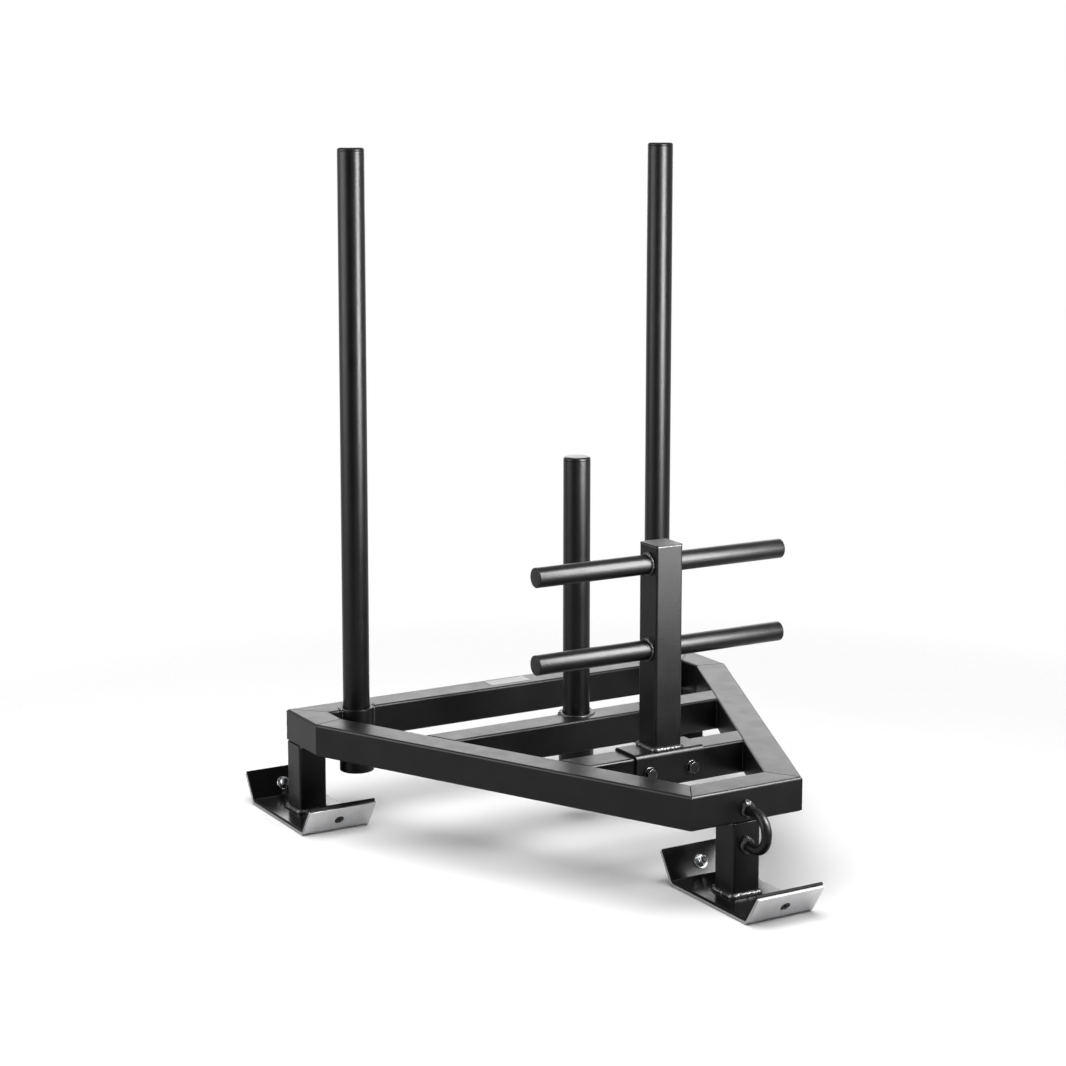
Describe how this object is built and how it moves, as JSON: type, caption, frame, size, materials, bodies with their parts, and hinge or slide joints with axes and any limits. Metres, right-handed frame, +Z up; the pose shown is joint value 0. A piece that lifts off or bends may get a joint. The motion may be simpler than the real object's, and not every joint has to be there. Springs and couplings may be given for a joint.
{
  "type": "push sled",
  "caption": "Black steel push sled: tapered tube frame on bent skids, upright push poles, a weight post, a low cross-bar handle and a tow eye.",
  "frame": {"origin": "on the floor, under the middle of the sled's length and width", "axes": "+Z up, -Y towards the towed end with the tow eye, +X along the rear tube"},
  "size_m": [0.99, 1.0754, 1.2437],
  "materials": {
    "black_coat": "satin black powder coat",
    "wear_steel": "bright brushed steel",
    "zinc_plate": "bright zinc plate",
    "black_bolt_steel": "black oxide"
  },
  "bodies": {
    "sled": {"rear_tube": "black_coat", "left_corner_tube": "black_coat", "right_corner_tube": "black_coat", "left_side_tube": "black_coat", "right_side_tube": "black_coat", "front_tube": "black_coat", "centre_crossbar": "black_coat", "front_crossbar": "black_coat", "left_pole_socket": "black_coat", "right_pole_socket": "black_coat", "weight_post_socket": "black_coat", "left_rear_leg": "black_coat", "right_rear_leg": "black_coat", "front_leg": "black_coat", "left_rear_shoe": "black_coat", "right_rear_shoe": "black_coat", "front_shoe": "black_coat", "tow_eye": "black_coat", "handle_saddle": "black_coat", "handle_post": "black_coat", "handle_post_cap": "black_coat", "lower_handle_bar": "black_coat", "upper_handle_bar": "black_coat", "left_rear_wear_plate": "wear_steel", "right_rear_wear_plate": "wear_steel", "front_wear_plate": "wear_steel", "left_rear_skid_front_washer": "zinc_plate", "left_rear_skid_front_nut": "zinc_plate", "left_rear_skid_rear_washer": "zinc_plate", "left_rear_skid_rear_nut": "zinc_plate", "right_rear_skid_front_washer": "zinc_plate", "right_rear_skid_front_nut": "zinc_plate", "right_rear_skid_rear_washer": "zinc_plate", "right_rear_skid_rear_nut": "zinc_plate", "front_skid_front_washer": "zinc_plate", "front_skid_front_nut": "zinc_plate", "front_skid_rear_washer": "zinc_plate", "front_skid_rear_nut": "zinc_plate", "left_rear_skid_front_screw": "black_bolt_steel", "left_rear_skid_rear_screw": "black_bolt_steel", "right_rear_skid_front_screw": "black_bolt_steel", "right_rear_skid_rear_screw": "black_bolt_steel", "front_skid_front_screw": "black_bolt_steel", "front_skid_rear_screw": "black_bolt_steel", "saddle_left_bolt": "black_bolt_steel", "saddle_left_front_washer": "black_bolt_steel", "saddle_left_rear_washer": "black_bolt_steel", "saddle_left_nut": "black_bolt_steel", "saddle_right_bolt": "black_bolt_steel", "saddle_right_front_washer": "black_bolt_steel", "saddle_right_rear_washer": "black_bolt_steel", "saddle_right_nut": "black_bolt_steel"},
    "left_push_pole_body": {"left_push_pole": "black_coat", "left_pole_cap": "black_coat"},
    "right_push_pole_body": {"right_push_pole": "black_coat", "right_pole_cap": "black_coat"},
    "weight_post_body": {"weight_post": "black_coat", "weight_post_cap": "black_coat"}
  },
  "joints": [
    {"name": "left_push_pole_lift", "type": "slide", "parent": "sled", "child": "left_push_pole_body", "axis": [0, 0, 1], "range_m": [0, 0.15]},
    {"name": "right_push_pole_lift", "type": "slide", "parent": "sled", "child": "right_push_pole_body", "axis": [0, 0, 1], "range_m": [0, 0.15]},
    {"name": "weight_post_lift", "type": "slide", "parent": "sled", "child": "weight_post_body", "axis": [0, 0, 1], "range_m": [0, 0.15]}
  ]
}
